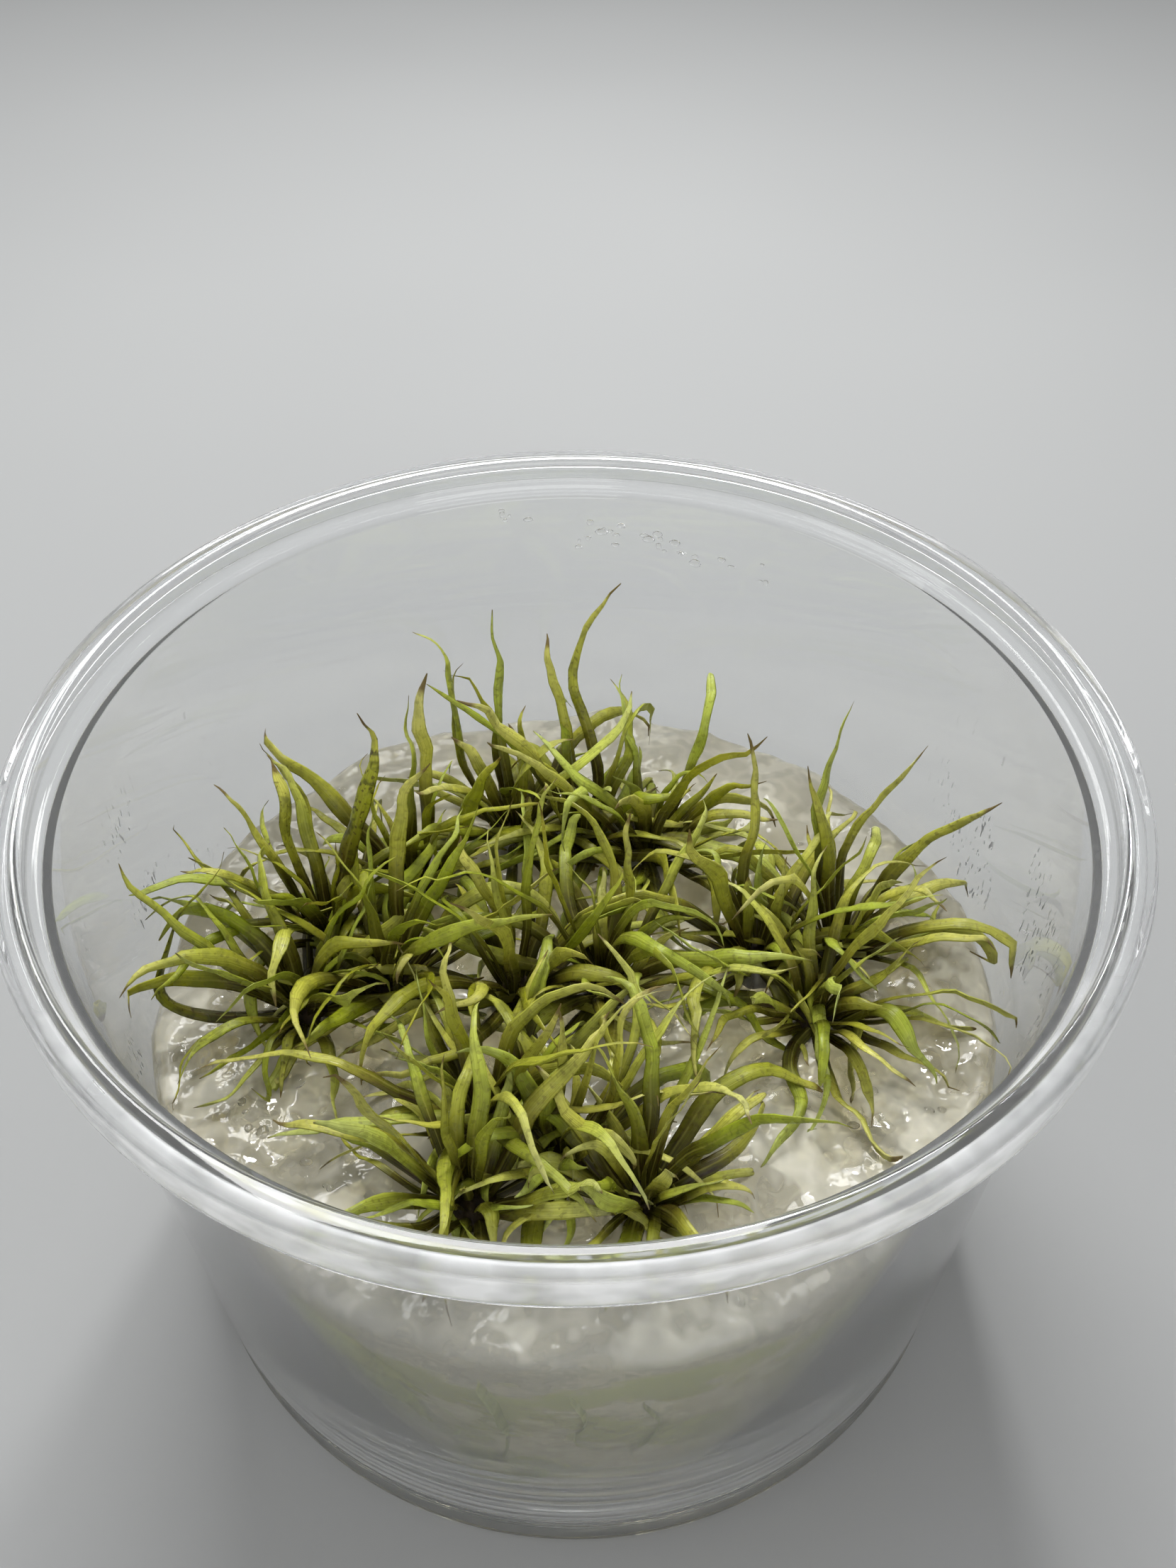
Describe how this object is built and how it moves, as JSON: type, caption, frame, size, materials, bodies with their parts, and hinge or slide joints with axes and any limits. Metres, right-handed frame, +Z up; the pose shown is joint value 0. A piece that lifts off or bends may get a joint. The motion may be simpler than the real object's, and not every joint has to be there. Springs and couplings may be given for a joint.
{
  "type": "cryptocoryne plantlets in a culture cup",
  "caption": "Narrow-leaved aquarium plantlets rooted in clear jelly, in a round clear culture cup with a flanged rim and a foot ring.",
  "frame": {"origin": "centre of the foot ring, on the surface the cup stands on", "axes": "+Z up along the cup's axis; -Y is the side that faces the viewer"},
  "size_m": [0.1, 0.1, 0.069],
  "materials": {
    "clear_plastic": "clear moulded, glossy, fine scuffs",
    "jelly": "clear culture jelly with a cream tint, wet",
    "leaf": "fresh leaf, olive to yellow green, wet sheen",
    "leaf_heart": "young leaf and brown stock, wet sheen"
  },
  "bodies": {
    "root": {"cup": "clear_plastic", "gel": "jelly", "leaf_back_1_1": "leaf", "leaf_back_1_2": "leaf", "leaf_back_1_3": "leaf", "leaf_back_2_1": "leaf", "leaf_back_2_2": "leaf", "leaf_back_2_3": "leaf", "leaf_back_3_1": "leaf", "leaf_back_3_2": "leaf", "leaf_back_3_3": "leaf", "leaf_centre_1_1": "leaf", "leaf_centre_1_2": "leaf", "leaf_centre_1_3": "leaf", "leaf_centre_2_1": "leaf", "leaf_centre_2_2": "leaf", "leaf_centre_2_3": "leaf", "leaf_front_1_1": "leaf", "leaf_front_1_2": "leaf", "leaf_front_2_1": "leaf", "leaf_front_2_2": "leaf", "leaf_front_3_1": "leaf", "leaf_front_3_2": "leaf", "leaf_front_4_1": "leaf", "leaf_left_1_1": "leaf", "leaf_left_1_2": "leaf", "leaf_left_1_3": "leaf", "leaf_left_1_4": "leaf", "leaf_left_2_1": "leaf", "leaf_left_2_2": "leaf", "leaf_left_3_1": "leaf", "leaf_left_3_2": "leaf", "leaf_left_3_3": "leaf", "leaf_left_3_4": "leaf", "leaf_left_4_1": "leaf", "leaf_right_1_1": "leaf", "leaf_right_1_2": "leaf", "leaf_right_2_1": "leaf", "leaf_right_2_2": "leaf", "leaf_right_2_3": "leaf", "leaf_right_2_4": "leaf", "leaf_right_3_1": "leaf", "leaf_right_3_2": "leaf", "leaf_right_3_3": "leaf", "plantlet_back_1": "leaf_heart", "plantlet_back_2": "leaf_heart", "plantlet_back_3": "leaf_heart", "plantlet_centre_1": "leaf_heart", "plantlet_centre_2": "leaf_heart", "plantlet_front_1": "leaf_heart", "plantlet_front_2": "leaf_heart", "plantlet_front_3": "leaf_heart", "plantlet_front_4": "leaf_heart", "plantlet_left_1": "leaf_heart", "plantlet_left_2": "leaf_heart", "plantlet_left_3": "leaf_heart", "plantlet_left_4": "leaf_heart", "plantlet_right_1": "leaf_heart", "plantlet_right_2": "leaf_heart", "plantlet_right_3": "leaf_heart"}
  },
  "joints": []
}
